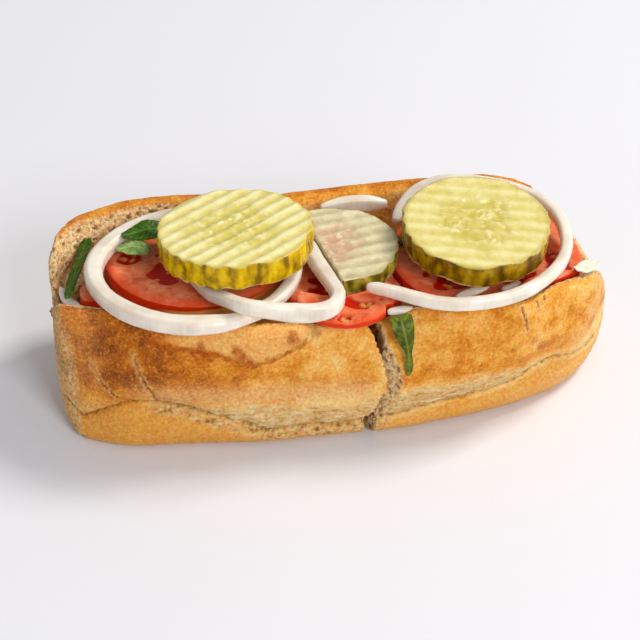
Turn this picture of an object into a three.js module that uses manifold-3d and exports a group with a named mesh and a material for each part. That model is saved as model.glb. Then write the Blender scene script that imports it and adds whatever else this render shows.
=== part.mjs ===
// A submarine sandwich: a soft white roll split along its top, filled, and cut across into two halves.
// Millimetres, +Z up, +X along the roll, the lower wall of the roll towards -Y, and the base on z = 0.
import * as THREE from 'three';
import { mergeVertices } from 'three/addons/utils/BufferGeometryUtils.js';
import Module from 'manifold-3d';

const wasm = await Module();
wasm.setup();

// Driving dimensions.
const ROLL_LEFT = -88;
const ROLL_RIGHT = 86.2;
const CUT_CENTRE = -7.1; // where the crosswise cut crosses the roll's middle line
const CUT_SLOPE = 0.373; // the knife ran slantwise: x lost for each mm towards the back
const FRONT_WALL = 4.6; // thickness of the lower wall at its rim
const BACK_WALL = 7.4; // thickness of the higher wall at its rim
const CREASE_DEPTH = 2.0; // the oven split that runs low along the crust
const FILLING_TOP = 36.0;
const TOUCH_GAP = 0.4; // what is left between pieces that touch
const TOMATO_BASE = FILLING_TOP + TOUCH_GAP;
const PICKLE_RIDGE = 4.9; // pitch of the crinkle cut
const PICKLE_DEPTH = 0.62; // half the height of a crinkle
const POCKET_DEPTH = 0.9; // how far a tomato's seed pockets sink
const CUTTER_LOW = 30; // the level where the prisms that trim toppings start
const CUTTER_HIGH = 60;

// Knots are [x, value]; the roll's own outline is given by its foot, its rims and their heights.
const frontFoot = profile([
  [-88, -12], [-86.4, -20.5], [-82, -27.2], [-68, -32.8], [-50, -34.8], [-17, -36.6], [8, -36.2],
  [30, -33.6], [50, -29.6], [66, -23.8], [77, -16], [82.8, -9], [86.2, -3],
]);
const backFoot = profile([
  [-88, 9], [-86.4, 17], [-82, 23.5], [-68, 29.5], [-50, 32], [0, 33], [40, 32], [60, 27.5],
  [74, 20], [82.6, 10.5], [86.2, 4],
]);
const frontRim = profile([
  [-88, -13], [-86, -18], [-74, -20.8], [-60, -26.8], [-34, -32.4], [-8, -34], [6, -34], [18, -33.6],
  [30, -35.4], [46, -35.2], [63, -27.2], [76, -20.6], [82.8, -10.5], [86.2, -3.2],
]);
const frontHeight = profile([
  [-88, 39], [-85, 43.4], [-75, 43], [-64, 42.2], [-34, 41.8], [-14, 40.9], [-4, 40.3], [6, 40.3],
  [12, 41.2], [18, 43], [30, 43.3], [60, 43], [76, 41.6], [80.6, 37], [84.6, 28], [86.2, 18],
]);
const backRim = profile([
  [-88, 11], [-86.6, 17], [-83.6, 23.4], [-79.6, 28.4], [-72, 31.8], [-60, 36], [-50, 36.8],
  [-38, 35.9], [-19, 33.2], [12, 35.6], [39, 36.4], [49, 36.8], [56, 35.5], [65, 31.8],
  [71, 25.4], [77, 15.4], [83, 8], [86.2, 3.4],
]);
const backHeight = profile([
  [-88, 42], [-86, 46.4], [-60, 47], [-20, 46.4], [10, 46.8], [54, 46.8], [65, 46], [71, 42],
  [76, 36.6], [80, 32], [84.4, 25], [86.2, 18],
]);
const troughFloor = profile([
  [-88, 34], [-82, 31], [-72, 21], [-60, 16.5], [0, 16], [58, 16.5], [70, 25], [77, 32], [82, 33],
  [86.2, 16],
]);
const baseHeight = profile([[-88, 6], [-86, 2], [-81, 0], [70, 0], [77, 1.2], [82.6, 5], [86.2, 11]]);
// The oven split wanders: it climbs near the left end, dips towards the cut and climbs again to the right.
const creaseHeight = profile([
  [-88, 10.5], [-86, 12], [-81.3, 9.4], [-75, 13], [-67.4, 16.6], [-60.8, 17.2], [-52, 15.8], [-41.4, 11.4],
  [-34, 9], [-27, 5.8], [-16, 6.2], [0, 6], [14, 7.5], [25, 9.5], [38, 10.7], [50, 12.8], [56, 16],
  [63, 16.6], [71, 13], [80, 11.6], [86.2, 13],
]);
// How far the lower wall swells past the straight line from its foot to its rim, by share of its height.
const frontSwell = profile([
  [0, -0.6], [0.06, 0.7], [0.2, 1.8], [0.36, 2.3], [0.56, 2.8], [0.76, 2], [0.93, 0.4], [1, 0],
]);
// The height of the torn strip that the oven split laid bare above the crease.
const shredHeight = profile([[-88, 2.6], [-40, 3], [2, 2.6], [9, 5.4], [58, 5.2], [72, 3]]);
// How far the torn crust stands out from the knife's line, by height, on each half's cut face.
const tearLeft = profile([
  [0, -3.2], [4, -3.2], [10, -1], [13, 1.2], [18, 2.8], [23, 2.5], [32, 1.2], [40, -1],
]);
const tearRight = profile([
  [0, -1.4], [5, -1.4], [9, 2.2], [13, 5], [18, 6.1], [22, 5.9], [29, 4.3], [35, 2.2], [44, 0.8],
]);

// Small helpers.

// A smooth curve through knots sorted by x that never swings past them, held level beyond the ends.
function profile(knots) {
  const last = knots.length - 1;
  const rise = (i) => (knots[i + 1][1] - knots[i][1]) / (knots[i + 1][0] - knots[i][0]);
  const slope = (i) => {
    const [before, after] = [rise(Math.max(i - 1, 0)), rise(Math.min(i, last - 1))];
    return before * after > 0 ? (2 * before * after) / (before + after) : 0;
  };
  return (x) => {
    const at = THREE.MathUtils.clamp(x, knots[0][0], knots[last][0]);
    const next = knots.findIndex((knot) => knot[0] > at);
    const i = (next < 0 ? last : next) - 1;
    const span = knots[i + 1][0] - knots[i][0];
    const t = (at - knots[i][0]) / span;
    const h = (3 - 2 * t) * t * t;
    const bow = t * (1 - t) * ((1 - t) * slope(i) - t * slope(i + 1)) * span;
    return mix(knots[i][1], knots[i + 1][1], h) + bow;
  };
}

function mix(a, b, t) {
  return a + (b - a) * t;
}

function range(count, from = 0, to = 1) {
  return Array.from({ length: count }, (_, i) => mix(from, to, i / (count - 1)));
}

// The angles of one whole turn in equal steps.
function turn(count) {
  return range(count + 1, 0, Math.PI * 2).slice(0, count);
}

function smooth(x, from, to) {
  return THREE.MathUtils.smoothstep(x, from, to);
}

// A closed geometry from corner points and triples of their indices.
function solid(points, faces) {
  const geometry = new THREE.BufferGeometry().setFromPoints(points);
  geometry.setIndex(faces.flat());
  return geometry;
}

// Triangles over a closed ring of points, found in the plane of the two coordinates named.
function cap(ring, first, [u, v], flip) {
  const outline = ring.map((p) => new THREE.Vector2(p[u], p[v]));
  const turned = THREE.ShapeUtils.area(outline) < 0;
  const faces = THREE.ShapeUtils.triangulateShape(turned ? outline.reverse() : outline, []);
  const index = (i) => first + (turned ? ring.length - 1 - i : i);
  return faces.map((face) => (flip !== turned ? face.toReversed() : face).map(index));
}

// Joins rings of equal length into a solid; a loop closes on its first ring, otherwise both ends get caps.
function loft(rings, { loop = false, plane = ['y', 'z'] } = {}) {
  const size = rings[0].length;
  const faces = [];
  const spans = loop ? rings.length : rings.length - 1;
  for (let j = 0; j < spans; j += 1) {
    const near = j * size;
    const far = ((j + 1) % rings.length) * size;
    for (let i = 0; i < size; i += 1) {
      const next = (i + 1) % size;
      faces.push([near + i, far + next, far + i], [near + i, near + next, far + next]);
    }
  }
  if (!loop) {
    const turned = signedArea(rings[0], plane) < 0;
    faces.push(...cap(rings[0], 0, plane, !turned), ...cap(rings.at(-1), spans * size, plane, turned));
  }
  return outward(solid(rings.flat(), faces));
}

function signedArea(ring, [u, v]) {
  return THREE.ShapeUtils.area(ring.map((p) => new THREE.Vector2(p[u], p[v])));
}

// Turns a geometry's faces outwards when its volume comes out negative.
function outward(geometry) {
  const index = geometry.index.array;
  const position = geometry.attributes.position;
  const [a, b, c] = [new THREE.Vector3(), new THREE.Vector3(), new THREE.Vector3()];
  let volume = 0;
  for (let i = 0; i < index.length; i += 3) {
    a.fromBufferAttribute(position, index[i]);
    b.fromBufferAttribute(position, index[i + 1]);
    c.fromBufferAttribute(position, index[i + 2]);
    volume += a.dot(b.cross(c));
  }
  if (volume < 0) {
    for (let i = 0; i < index.length; i += 3) [index[i], index[i + 1]] = [index[i + 1], index[i]];
  }
  return geometry;
}

function toManifold(geometry) {
  const bare = geometry.clone();
  bare.deleteAttribute('normal');
  bare.deleteAttribute('uv');
  const merged = mergeVertices(bare, 1e-4);
  return new wasm.Manifold(new wasm.Mesh({
    numProp: 3,
    vertProperties: new Float32Array(merged.attributes.position.array),
    triVerts: new Uint32Array(merged.index.array),
  }));
}

function fromManifold(body) {
  const { vertProperties, triVerts } = body.getMesh();
  const geometry = new THREE.BufferGeometry();
  geometry.setAttribute('position', new THREE.BufferAttribute(vertProperties, 3));
  geometry.setIndex(new THREE.BufferAttribute(triVerts, 1));
  return geometry;
}

// The roll.

const cutAt = (y) => CUT_CENTRE - CUT_SLOPE * y;

// The cross-section's corners, from the front rim down the crust, under the base and back through the trough.
// Each is [y, z, steps to the next]. On a slanting section the two walls are read at places of their own.
function sectionCorners(xFront, xBack) {
  const foot = frontFoot(xFront);
  const rim = frontRim(xFront);
  const top = frontHeight(xFront);
  const base = baseHeight(xFront);
  const crease = Math.min(creaseHeight(xFront), mix(base, top, 0.44));
  const heel = backFoot(xBack);
  const crest = backRim(xBack);
  const high = backHeight(xBack);
  const under = baseHeight(xBack);
  const middle = (xFront + xBack) / 2;
  const floor = Math.min(troughFloor(middle), Math.min(top, high) - 3);
  const room = crest - rim;
  const thin = Math.min(FRONT_WALL, room * 0.2);
  const thick = Math.min(BACK_WALL, room * 0.22);
  const swell = 1 - smooth(Math.abs(middle), 70, 85);
  const lip = Math.min(1, room / 36);
  const sway = 0.5 * Math.sin(xFront * 0.11 + 1) + 0.3 * Math.sin(xFront * 0.29);
  const shred = Math.min(shredHeight(xFront), (top - base) * 0.16);
  const ledge = crease + shred;
  const back = (t, out) => mix(heel, crest, t) + out;
  const up = (t) => mix(base, top, t);
  const rise = (t) => mix(under, high, t);
  const wall = (z, out = 0) => {
    const share = (z - base) / (top - base);
    return [mix(foot, rim, Math.max(share - 0.03, 0)) - frontSwell(share) * swell - out, z];
  };
  return [
    [rim + thin * 0.45, top, 2],
    [...wall(up(0.93)), 3],
    [...wall(up(0.76), sway * 0.4), 3],
    [...wall(mix(ledge, up(0.76), 0.64), sway), 3],
    [...wall(mix(ledge, up(0.76), 0.3), sway * 0.5), 3],
    [...wall(ledge, -0.4 * swell), 2],
    [...wall(crease, -CREASE_DEPTH * swell - 0.2), 2],
    [...wall(mix(base, crease, 0.58)), 2],
    [foot + 0.7 * lip, base + 1.2 * lip, 1],
    [foot + 3.6 * lip, base, 1],
    [mix(foot, heel, 0.5), Math.min(base, under), 1],
    [back(0, -3.8 * lip), under, 1],
    [back(0, -0.8 * lip), under + 1.6 * lip, 2],
    [back(0.2, 1.6 * swell), rise(0.22), 3],
    [back(0.55, 2.2 * swell), rise(0.52), 3],
    [back(0.9, 0.6 * swell), rise(0.84), 3],
    [back(1, -thick * 0.32), high, 2],
    [crest - thick, high - 1.6 * lip, 2],
    [crest - thick * 1.55, mix(floor, high, 0.62), 2],
    [mix(rim, crest, 0.76), mix(floor, high, 0.16), 2],
    [mix(rim, crest, 0.5), floor, 2],
    [mix(rim, crest, 0.24), mix(floor, top, 0.14), 2],
    [rim + thin * 1.25, mix(floor, top, 0.66), 2],
    [rim + thin, top - 0.9 * lip, 2],
  ];
}

// Points round one cross-section, as a smooth closed curve through its corners.
function sectionRing(xFront, xBack) {
  const corners = sectionCorners(xFront, xBack);
  const curve = new THREE.CatmullRomCurve3(
    corners.map(([y, z]) => new THREE.Vector3(0, y, z)), true, 'centripetal',
  );
  const lowest = Math.min(...corners.map((corner) => corner[1]));
  const ring = [];
  corners.forEach(([, , steps], i) => {
    for (let k = 0; k < steps; k += 1) {
      const point = curve.getPoint((i + k / steps) / corners.length);
      point.z = Math.max(point.z, lowest);
      ring.push(point);
    }
  });
  return ring;
}

// One half of the roll, from its rounded end to its slanting, torn cut face.
function breadHalf(end, steps, tear, side) {
  const rings = steps.map((t) => {
    const ring = sectionRing(mix(end, cutAt(-34), t), mix(end, cutAt(33), t));
    for (const point of ring) {
      const torn = smooth(-point.y, -16, 30) * tear(point.z) + side * 0.45;
      const crumb = 0.35 * Math.sin(point.y * 0.9 + point.z * 0.7);
      point.x = mix(end, cutAt(point.y) + (torn + crumb * 0.4) * t ** 8, t);
    }
    return ring;
  });
  return loft(rings);
}

const leftSteps = [0, 0.012, 0.03, 0.055, 0.09, ...range(20, 0.135, 0.96), 0.985, 1];
const rightSteps = [0, 0.012, 0.032, 0.06, 0.095, ...range(20, 0.14, 0.96), 0.985, 1];

// The cooked filling.

// Where a wall of the trough stands at a height, along straight lines between its corners [y, z].
function wallAt(corners, z) {
  const next = Math.max(corners.findIndex((corner) => corner[1] > z), 1);
  const [low, high] = [corners[next - 1], corners[next]];
  return mix(low[0], high[0], THREE.MathUtils.clamp((z - low[1]) / (high[1] - low[1]), 0, 1));
}

// A slab that lies in the trough of one half, from near the roll's end to near the cut.
function fillingHalf(from, to) {
  const rings = range(12).map((t) => {
    const x = mix(from, to, t);
    const [crest, back, heel, floor, toe, front, rim] = sectionCorners(x, x).slice(17);
    const near = [floor, toe, front, rim];
    const far = [floor, heel, back, crest];
    const ending = Math.min(1, 0.7 + 3 * t);
    const top = FILLING_TOP - 1.2 * (1 - ending);
    const bend = 0.25 * Math.sin(x * 0.31);
    const low = floor[1] + 1.2;
    const levels = [mix(low, top, 0.3), mix(low, top, 0.62), top - 1.8];
    const clear = mix(1.4, 2.8, smooth(Math.abs(x), 42, 58));
    const points = [
      [mix(floor[0], toe[0], 0.4), low],
      [mix(floor[0], heel[0], 0.4), low],
      ...levels.map((z) => [wallAt(far, z) - clear, z]),
      [mix(wallAt(far, top), wallAt(near, top), 0.12), top - 0.3],
      [mix(wallAt(far, top), wallAt(near, top), 0.36), top + bend - 0.3],
      [mix(wallAt(far, top), wallAt(near, top), 0.64), top - bend - 0.3],
      [mix(wallAt(far, top), wallAt(near, top), 0.88), top - 0.3],
      ...levels.toReversed().map((z) => [wallAt(near, z) + clear, z]),
    ];
    return points.map(([y, z]) => {
      const drawn = mix(floor[0], y, ending);
      return new THREE.Vector3(x + (cutAt(drawn) - cutAt(0)) * t, drawn, z);
    });
  });
  return loft(rings);
}

// Toppings.

// A tomato slice: a disc with a soft rim and wet seed pockets sunk into its upper face.
function tomatoSlice({ centre, radius, outline = () => 1, base, thick, sectors, pockets = [] }) {
  const levels = [0.32, 0.56, 0.8, 0.95, 1];
  const top = (x, y) => {
    const sunk = pockets.map(([px, py, rx, ry]) => {
      const out = Math.hypot((x - px) / rx, (y - py) / ry);
      return 1 - smooth(out, 0.5, 1);
    });
    return thick - POCKET_DEPTH * Math.max(0, ...sunk);
  };
  const place = (x, y, z) => new THREE.Vector3(centre[0] + x, centre[1] + y, base + z);
  const points = [place(0, 0, top(0, 0))];
  const ringAt = (fraction, height) => {
    for (let i = 0; i < sectors; i += 1) {
      const angle = (i / sectors) * Math.PI * 2;
      const r = radius * fraction * outline(angle);
      const [x, y] = [r * Math.cos(angle), r * Math.sin(angle)];
      points.push(place(x, y, height ?? top(x, y)));
    }
  };
  levels.forEach((level, i) => ringAt(level, i === levels.length - 1 ? thick - 0.8 : undefined));
  ringAt(1, 0.7);
  ringAt(0.96, 0);
  points.push(place(0, 0, 0));
  return polarFaces(points, levels.length + 2, sectors);
}

// Faces over a centre point, rings round it and a closing centre point.
function polarFaces(points, rings, sectors) {
  const faces = [];
  for (let i = 0; i < sectors; i += 1) {
    const next = (i + 1) % sectors;
    faces.push([0, 1 + i, 1 + next]);
    for (let j = 0; j < rings - 1; j += 1) {
      const near = 1 + j * sectors;
      const far = near + sectors;
      faces.push([near + i, far + i, far + next], [near + i, far + next, near + next]);
    }
    const last = 1 + (rings - 1) * sectors;
    faces.push([points.length - 1, last + next, last + i]);
  }
  return outward(solid(points, faces));
}

// A crinkle-cut pickle chip: a corrugated slab inside a softly lobed barrel.
function pickleChip({ centre, radius, thick, ridgeTurn, tilt, toward, lobe }) {
  const reach = radius * 1.1;
  const wave = range(Math.round((reach * 2) / PICKLE_RIDGE) * 4 + 1, -reach, reach);
  const ripple = (u) => PICKLE_DEPTH * Math.cos((u / PICKLE_RIDGE) * Math.PI * 2);
  const outline = new THREE.Shape([
    ...wave.map((u) => new THREE.Vector2(u, thick / 2 + ripple(u))),
    ...wave.toReversed().map((u) => new THREE.Vector2(u, -thick / 2 + ripple(u))),
  ]);
  const slab = new THREE.ExtrudeGeometry(outline, { depth: reach * 2, bevelEnabled: false });
  slab.translate(0, 0, -reach).rotateX(Math.PI / 2).rotateZ(ridgeTurn);
  const sides = 32;
  const levels = [[-1.4, 0.93], [-0.3, 0.99], [0.3, 0.99], [1.4, 0.92]];
  const rings = levels.map(([height, scale]) => turn(sides).map((angle) => {
    const r = radius * scale * (1 + lobe * Math.cos(2 * angle + 0.6) + 0.009 * Math.cos(7 * angle));
    return new THREE.Vector3(r * Math.cos(angle), r * Math.sin(angle), height * thick);
  }));
  const barrel = loft(rings, { plane: ['x', 'y'] });
  const chip = fromManifold(toManifold(slab).intersect(toManifold(barrel)));
  const axis = new THREE.Vector3(-Math.sin(toward), Math.cos(toward), 0);
  chip.applyMatrix4(new THREE.Matrix4().makeRotationAxis(axis, tilt));
  return chip.translate(...centre);
}

// A cut onion layer swept along a path: path(t) gives [x, y, base, width, height].
function onionBand({ path, stations, loop = false, sides = 8, tip = 0.55 }) {
  const count = loop ? stations : stations + 1;
  const rings = Array.from({ length: count }, (_, j) => {
    const t = j / stations;
    const step = 0.5 / stations;
    const [x, y, base, width, height] = path(t);
    const ahead = path(loop ? (t + step) % 1 : Math.min(t + step, 1));
    const behind = path(loop ? (t - step + 1) % 1 : Math.max(t - step, 0));
    const along = new THREE.Vector2(ahead[0] - behind[0], ahead[1] - behind[1]).normalize();
    const ending = loop ? 1 : Math.min(1, tip + (1 - tip) * Math.sqrt(Math.min(t, 1 - t) * stations * 0.5));
    return turn(sides).map((angle) => {
      const across = squared(Math.cos(angle + Math.PI / sides)) * width * 0.5 * ending;
      const above = squared(Math.sin(angle + Math.PI / sides)) * height * 0.5 * ending + height * 0.5;
      return new THREE.Vector3(x - along.y * across, y + along.x * across, base + above);
    });
  });
  if (loop) return loft(rings, { loop });
  return endCapped(rings);
}

// Pushes a circle's sine or cosine towards a rounded square's.
function squared(value) {
  return Math.sign(value) * Math.abs(value) ** 0.62;
}

// A swept band whose two ends close on a centre point each.
function endCapped(rings) {
  const size = rings[0].length;
  const points = rings.flat();
  const faces = [];
  for (let j = 0; j < rings.length - 1; j += 1) {
    for (let i = 0; i < size; i += 1) {
      const next = (i + 1) % size;
      const [near, far] = [j * size, (j + 1) * size];
      faces.push([near + i, far + next, far + i], [near + i, near + next, far + next]);
    }
  }
  [rings[0], rings.at(-1)].forEach((ring, end) => {
    const middle = ring.reduce((sum, point) => sum.add(point), new THREE.Vector3()).divideScalar(size);
    const first = end * (rings.length - 1) * size;
    points.push(middle);
    for (let i = 0; i < size; i += 1) {
      const edge = [first + i, first + ((i + 1) % size)];
      faces.push([...(end ? edge : edge.toReversed()), points.length - 1]);
    }
  });
  return outward(solid(points, faces));
}

// A smooth path through a few hand-set stations [x, y, base, width, height].
function handPath(stations) {
  const place = new THREE.CatmullRomCurve3(
    stations.map(([x, y, z]) => new THREE.Vector3(x, y, z)), false, 'centripetal',
  );
  const size = new THREE.CatmullRomCurve3(
    stations.map((station) => new THREE.Vector3(station[3], station[4], 0)), false, 'centripetal',
  );
  return (t) => {
    const at = place.getPoint(t);
    const section = size.getPoint(t);
    return [at.x, at.y, at.z, section.x, section.y];
  };
}

// A thin wavy leaf: its spine runs through the stations [x, y, z, half-width, roll], rolled about the spine.
// A leaf that hangs down gives the level direction of its width, because its spine has none.
function leafBlade({ spine, across: width, thick = 0.5, rows = 10, wave = 0.35 }) {
  const line = new THREE.CatmullRomCurve3(spine.map(([x, y, z]) => new THREE.Vector3(x, y, z)));
  const size = new THREE.CatmullRomCurve3(spine.map((knot) => new THREE.Vector3(knot[3], knot[4], 0)));
  const columns = 4;
  const rings = range(rows).map((t) => {
    const at = line.getPoint(t);
    const along = line.getTangent(t);
    const { x: half, y: roll } = size.getPoint(t);
    const side = width
      ? new THREE.Vector3(...width).projectOnPlane(along).normalize()
      : new THREE.Vector3(0, 0, 1).cross(along).normalize();
    side.applyAxisAngle(along, roll);
    const normal = along.clone().cross(side).normalize();
    const face = (v, away) => {
      const ripple = wave * Math.sin(v * 2.6 + t * 9) * v + 0.5 * wave * Math.cos(t * 14 + v);
      return at.clone().addScaledVector(side, v * half).addScaledVector(normal, ripple + away * thick * 0.5);
    };
    const across = range(columns, -1, 1);
    return [...across.map((v) => face(v, 1)), ...across.toReversed().map((v) => face(v, -1))];
  });
  return endCapped(rings);
}

// Materials.

function material(color, roughness) {
  return new THREE.MeshStandardMaterial({ color, roughness, metalness: 0 });
}

const group = new THREE.Group();

function add(name, geometry, color, roughness) {
  const mesh = new THREE.Mesh(geometry, material(color, roughness));
  mesh.name = name;
  group.add(mesh);
  return geometry;
}

const CRUST = 0xd89a55;
const ONION = 0xe4ddd0;
const TOMATO = 0xc5462c;
const PICKLE = 0xb0a63c;
const LEAF = 0x2f5426;
const FILLING = 0xd9974c;

// The sandwich.

add('bread_left', breadHalf(ROLL_LEFT, leftSteps, tearLeft, -1), CRUST, 0.6);
add('bread_right', breadHalf(ROLL_RIGHT, rightSteps, tearRight, 1), CRUST, 0.6);
add('filling_left', fillingHalf(-78, cutAt(0) - 2.5), FILLING, 0.55);
add('filling_right', fillingHalf(70, cutAt(0) + 3.5), FILLING, 0.55);

// How far from a centre a slice of the given radius reaches before it meets a wall of the roll or a
// neighbouring slice [x, y, radius], as a share of that radius.
function pressedIn([x, y], radius, neighbours = []) {
  const fits = (r, angle) => {
    const px = x + r * Math.cos(angle);
    const py = y + r * Math.sin(angle);
    const near = frontRim(px) + FRONT_WALL * 1.35 + TOUCH_GAP;
    const far = backRim(px) - BACK_WALL * 1.6 - TOUCH_GAP;
    return py > near && py < far
      && neighbours.every(([cx, cy, reach]) => Math.hypot(px - cx, py - cy) > reach + TOUCH_GAP);
  };
  return (angle) => {
    let r = radius;
    while (r > radius * 0.5 && !fits(r, angle)) r -= 0.2;
    return r / radius;
  };
}

const leftSlice = [-42.6, 9.6, 29];
const centreSlice = [0, -6.6, 21];
const rightSlice = [45.2, -3.8, 29.6];
add('tomato_left', tomatoSlice({
  centre: leftSlice, radius: leftSlice[2], outline: pressedIn(leftSlice, leftSlice[2]), base: TOMATO_BASE,
  thick: 5.8, sectors: 34, pockets: [[-20.5, -1.2, 5, 5], [-12, -10, 6, 8], [4, -6, 9, 8], [15, -13, 7, 6]],
}), TOMATO, 0.3);
add('tomato_left_end', tomatoSlice({
  centre: [-76, -5], radius: 3.5, outline: (angle) => 1 + 0.55 * Math.sin(angle) ** 2, base: TOMATO_BASE,
  thick: 3.8, sectors: 12,
}), TOMATO, 0.3);
add('tomato_centre', tomatoSlice({
  centre: centreSlice, radius: centreSlice[2], base: TOMATO_BASE, thick: 4.1, sectors: 30,
  outline: pressedIn(centreSlice, centreSlice[2], [leftSlice, rightSlice]),
  pockets: [[-6, -4, 5, 9], [4, 6, 6, 5]],
}), TOMATO, 0.3);
add('tomato_right', tomatoSlice({
  centre: rightSlice, radius: rightSlice[2], outline: pressedIn(rightSlice, rightSlice[2]), base: TOMATO_BASE,
  thick: 6.2, sectors: 34, pockets: [[-14, -12, 8, 7], [6, -14, 9, 6], [19, -6, 7, 8], [-16, 8, 7, 8]],
}), TOMATO, 0.3);

// The left ring is whole and lies on its tomato slice and on the lower wall.
const ringCentre = [-44.6, -5];
const ringPath = (t) => {
  const angle = t * Math.PI * 2;
  const x = ringCentre[0] + 29.8 * Math.cos(angle) + 0.5 * Math.cos(3 * angle);
  const y = ringCentre[1] + 28.1 * Math.sin(angle) + 0.4 * Math.cos(2 * angle);
  const slim = smooth(x, -46, -33);
  return [x, y, 42.7 + 0.4 * smooth(y, 5, 25), mix(5.8, 4.6, slim), mix(5.6, 4.2, slim)];
};
add('onion_ring_left', onionBand({ path: ringPath, stations: 50, loop: true }), ONION, 0.3);

// The middle ring is cut open and bent into a loop: it climbs over the left ring and drops to the lower wall.
const loopPath = handPath([
  [-47.5, -3, 42.6, 4.2, 4.4], [-44, -11, 42.6, 4.6, 4.5], [-41, -19, 43.6, 4.6, 4.8],
  [-37.2, -26.6, 46.3, 4.4, 4.8], [-32, -33.2, 47.9, 4, 5], [-25.4, -34.7, 46.8, 3.8, 5.6],
  [-19.6, -34.4, 44.9, 3.8, 6.2], [-12.6, -34.9, 44.6, 3.8, 6.2], [-7.4, -33.4, 44.9, 4.4, 5.8],
  [-4.6, -27.6, 44.9, 4.8, 5], [-5.8, -16.8, 43.6, 5, 4.8], [-7.9, -6, 42.8, 5, 4.8],
  [-8.9, 0.9, 42.6, 4.8, 4.8], [-11.2, 8.6, 42.6, 4.4, 4.6],
]);
add('onion_ring_centre', onionBand({ path: loopPath, stations: 40 }), ONION, 0.3);

// The right ring is cut open too: its front tip lies free and its back end runs in under the pickle.
const openPath = handPath([
  [4.6, -22.9, 44.7, 3.4, 4], [8.6, -24.8, 44.7, 3.7, 4.2], [14.4, -28.4, 44.8, 3.8, 4.2],
  [22.2, -32.2, 44.1, 3.6, 4.3], [30, -34.3, 43.8, 3.4, 4.5], [41.8, -33.8, 43.8, 3.4, 4.5],
  [51, -30.6, 43.9, 3.6, 4.5],
  [59.2, -24.4, 43.8, 3.8, 4.5], [65.4, -17.2, 43.6, 4, 4.4], [69.2, -9.3, 44.2, 4, 4.3],
  [70, 0.4, 46.2, 3.8, 4.3], [67.2, 9.2, 47.4, 3.6, 4.3], [62, 16.6, 47.6, 3.6, 4.3],
  [53.6, 22.8, 47.6, 3.6, 4.3], [45, 26, 47.6, 3.6, 4.3], [36.4, 26.2, 47.5, 4.2, 4.2],
  [28.8, 23.2, 46.7, 4.8, 4], [23.6, 17.2, 45.6, 5, 3.8], [19.4, 10.2, 44.8, 4.6, 3.6],
]);
add('onion_ring_right', onionBand({ path: openPath, stations: 46 }), ONION, 0.3);

const strips = {
  onion_strip_back: [[-2.4, 22.4, 42.5, 3.8, 5.4], [4.6, 23.4, 42.5, 4.2, 6.2], [12, 23.4, 42.5, 4.2, 6.2],
    [19.2, 22.8, 42.5, 3.6, 5]],
  onion_strip_front: [[9.4, -31.5, 42.1, 2.8, 2.3], [13.4, -31.2, 42.2, 3.2, 2.4],
    [17.4, -30.6, 43.4, 2.6, 0.5]],
  onion_strip_under: [[30.6, -28.6, 43.1, 3.4, 2], [35.4, -26.4, 43.1, 3.8, 2],
    [41.6, -23.4, 43.1, 3.4, 1.9]],
  onion_chip_right: [[45, -26.2, 43.1, 2.6, 1.8], [48.6, -24.6, 43.1, 2.6, 1.8], [51.6, -22.6, 43.1, 2, 1.6]],
  onion_shred_left: [[-85, 2.6, 34.8, 2.6, 3], [-84, -2.4, 34.6, 3, 3.2], [-81.4, -7, 35, 3, 3.2],
    [-79.4, -10.2, 36.6, 2.4, 2.6]],
};
for (const [name, knots] of Object.entries(strips)) {
  add(name, onionBand({ path: handPath(knots), stations: 7, sides: 6, tip: 0.6 }), ONION, 0.3);
}

// A prism that cuts a topping off where its neighbour lies.
function prism(outline) {
  const shape = new THREE.Shape(outline.map(([x, y]) => new THREE.Vector2(x, y)));
  const body = new THREE.ExtrudeGeometry(shape, { depth: CUTTER_HIGH - CUTTER_LOW, bevelEnabled: false });
  return toManifold(body.translate(0, 0, CUTTER_LOW));
}

function circle([x, y], rx, ry = rx) {
  return turn(40).map((angle) => [x + rx * Math.cos(angle), y + ry * Math.sin(angle)]);
}

const pickleCentre = [-2.4, -1.2, 45.1];
const pickleRadius = 20.6;
// The loop's own outline, grown a little: the middle pickle stops against the onion.
const loopOutline = range(30, 0.02, 0.995).map((t) => {
  const [x, y] = loopPath(t);
  const middle = new THREE.Vector2(-24, -14);
  const away = new THREE.Vector2(x, y).sub(middle);
  return away.setLength(away.length() + 3.3).add(middle).toArray();
});
add('pickle_left', pickleChip({
  centre: [-32, -2.9, 54.1], radius: 23.6, thick: 7.8, ridgeTurn: -0.93, tilt: 0.07, toward: 2.18,
  lobe: 0.012,
}), PICKLE, 0.35);
const centreChip = pickleChip({
  centre: pickleCentre, radius: pickleRadius, thick: 5.4, ridgeTurn: -1.48, tilt: 0.05, toward: 3.4,
  lobe: 0.02,
});
add('pickle_centre', fromManifold(
  toManifold(centreChip).subtract(prism([...loopOutline, [-30, 30]])),
), PICKLE, 0.35);
add('pickle_right', pickleChip({
  centre: [40.9, -6, 52.5], radius: 22.7, thick: 7.4, ridgeTurn: 1.33, tilt: 0.105, toward: -Math.PI / 2,
  lobe: 0.015,
}), PICKLE, 0.35);

const wedge = tomatoSlice({
  centre: [-1.6, -21.5], radius: 15, base: 41.3, thick: 3, sectors: 30,
  pockets: [[4, -5.5, 8, 3], [-1.5, -12, 3, 3]],
});
add('tomato_front', fromManifold(
  toManifold(wedge)
    .subtract(prism(circle(pickleCentre, pickleRadius + 0.6)))
    .subtract(prism(circle(ringCentre, 33.3, 31.6)))
    .subtract(prism([[7.4, -40], [20, -40], [20, -28.6], [9.6, -28.6]])),
), TOMATO, 0.3);

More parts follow.
